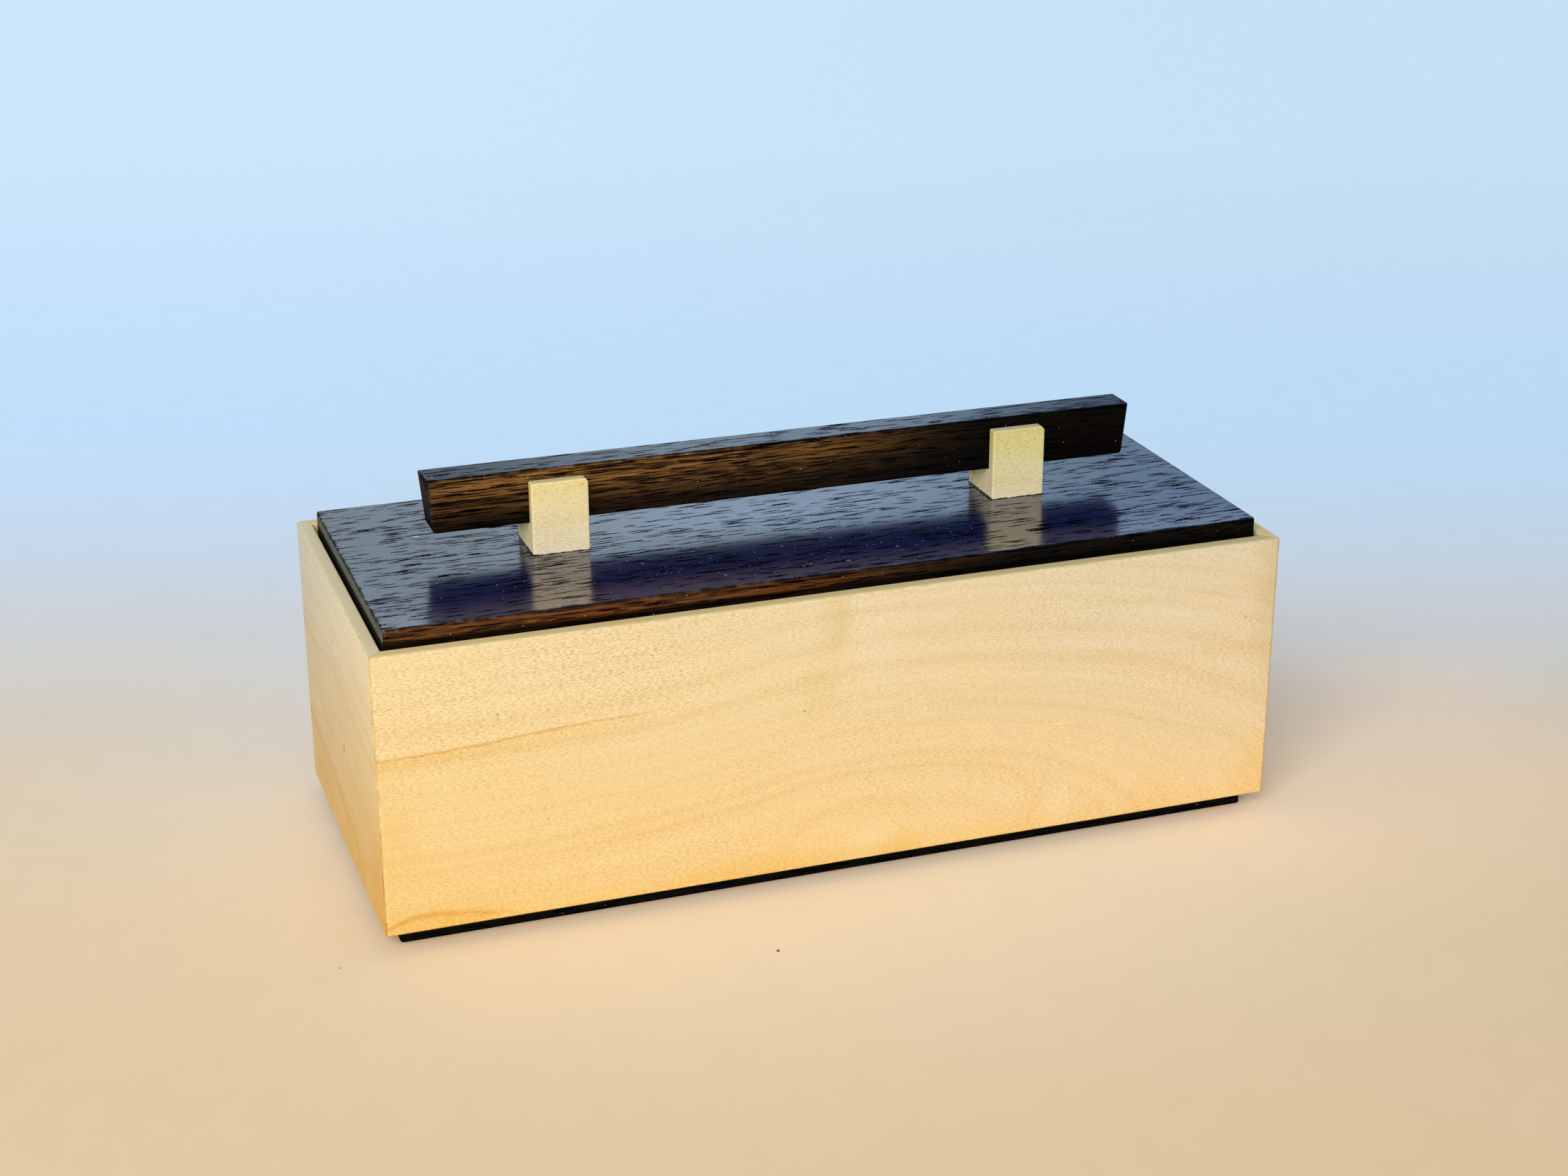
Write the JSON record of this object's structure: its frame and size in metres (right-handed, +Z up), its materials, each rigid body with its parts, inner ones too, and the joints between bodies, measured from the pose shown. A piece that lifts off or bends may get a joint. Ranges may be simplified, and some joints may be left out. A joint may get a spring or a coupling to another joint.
{
  "type": "lidded keepsake box",
  "caption": "Small maple box with mitred walls, a set-back dark base and a lift-off dark lid carried by a long bar handle held in pale saddle blocks.",
  "frame": {"origin": "centre of the box in plan, at the underside of the base", "axes": "+X along the length, to the right seen from the front; -Y towards the front; +Z up"},
  "size_m": [0.254, 0.1054, 0.1102],
  "materials": {
    "maple": "pale maple, clear satin oil",
    "block_maple": "pale maple, clear satin oil",
    "spline_maple": "raw maple, glued",
    "lid_wenge": "dark open-pored wenge, satin oil",
    "bar_wenge": "dark open-pored wenge, satin oil",
    "base_wenge": "dark open-pored wenge, satin oil",
    "brass": "plain turned brass"
  },
  "bodies": {
    "box": {"front_wall": "maple", "back_wall": "maple", "left_wall": "maple", "right_wall": "maple", "corner_spline_front_left": "spline_maple", "corner_spline_back_left": "spline_maple", "corner_spline_front_right": "spline_maple", "corner_spline_back_right": "spline_maple", "base_panel": "base_wenge", "base_screw_front_left": "brass", "base_screw_front_middle": "brass", "base_screw_front_right": "brass", "base_screw_back_left": "brass", "base_screw_back_middle": "brass", "base_screw_back_right": "brass"},
    "lid": {"lid_panel": "lid_wenge", "handle_bar": "bar_wenge", "left_handle_block": "block_maple", "right_handle_block": "block_maple", "left_handle_screw": "brass", "right_handle_screw": "brass"}
  },
  "joints": [
    {"name": "lid_lift", "type": "slide", "parent": "box", "child": "lid", "axis": [0, 0, 1], "range_m": [0, 0.12]}
  ]
}
